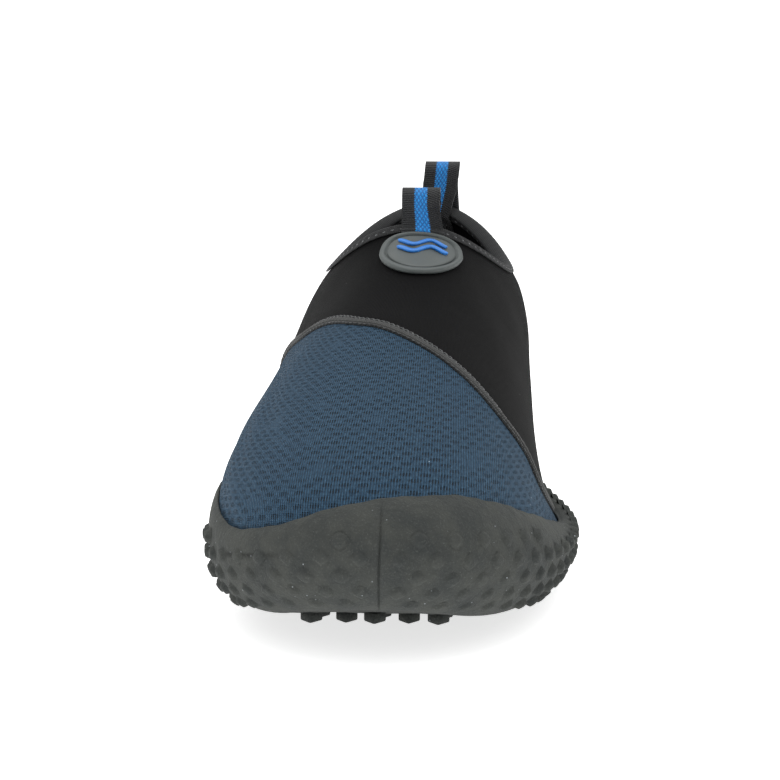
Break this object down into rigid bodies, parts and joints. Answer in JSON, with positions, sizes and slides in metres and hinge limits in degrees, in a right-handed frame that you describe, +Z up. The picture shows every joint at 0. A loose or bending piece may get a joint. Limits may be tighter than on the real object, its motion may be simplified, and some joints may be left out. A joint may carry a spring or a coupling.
{
  "type": "neoprene water shoe",
  "caption": "Low slip-on water shoe, right foot: rubber cup sole, mesh toe, neoprene upper with bound collar, instep badge and webbing pull loops.",
  "frame": {"origin": "middle of the shoe's box in plan, on the ground that the tread stands on", "axes": "+Z up; +Y from toe to heel; +X towards the inner (big toe) side of this right shoe"},
  "size_m": [0.1078, 0.2782, 0.1181],
  "materials": {
    "sole_rubber": "moulded matte",
    "fibre_board": "matte non-woven",
    "pale_thread": "spun polyester",
    "eva_foam": "matte closed-cell foam",
    "insole_knit": "knit",
    "blue_mesh": "warp-knit spacer mesh",
    "lining_foam": "laminated foam",
    "neoprene": "jersey-faced foam",
    "piping_tape": "woven tape",
    "binding_tape": "elastic tape",
    "grey_thread": "twisted polyester",
    "badge_rubber": "moulded satin",
    "badge_blue": "moulded satin",
    "webbing": "woven webbing"
  },
  "bodies": {
    "shoe": {"outsole": "sole_rubber", "lasting_board": "fibre_board", "strobel_stitching": "pale_thread", "insole_foam": "eva_foam", "insole_cover": "insole_knit", "toe_panel": "blue_mesh", "toe_lining": "lining_foam", "neoprene_upper": "neoprene", "vamp_piping": "piping_tape", "vamp_stitching_upper": "grey_thread", "vamp_stitching_lower": "grey_thread", "collar_binding": "binding_tape", "collar_stitching": "grey_thread", "heel_seam_tape": "binding_tape", "heel_seam_stitching": "grey_thread", "badge": "badge_rubber", "badge_wave_upper": "badge_blue", "badge_wave_lower": "badge_blue", "front_loop_tack": "grey_thread", "rear_loop_tack": "grey_thread"},
    "front_loop": {"front_pull_loop": "webbing"},
    "rear_loop": {"rear_pull_loop": "webbing"}
  },
  "joints": [
    {"name": "front_loop_fold", "type": "hinge", "parent": "shoe", "child": "front_loop", "pos_m": [0.00271, 0.04293, 0.10579], "axis": [1, 0, 0], "range_deg": [-75, 60], "stiffness_Nm_per_rad": 0.002},
    {"name": "rear_loop_fold", "type": "hinge", "parent": "shoe", "child": "rear_loop", "pos_m": [0.00468, 0.13214, 0.10393], "axis": [1, 0, 0], "range_deg": [-55, 75], "stiffness_Nm_per_rad": 0.002}
  ]
}
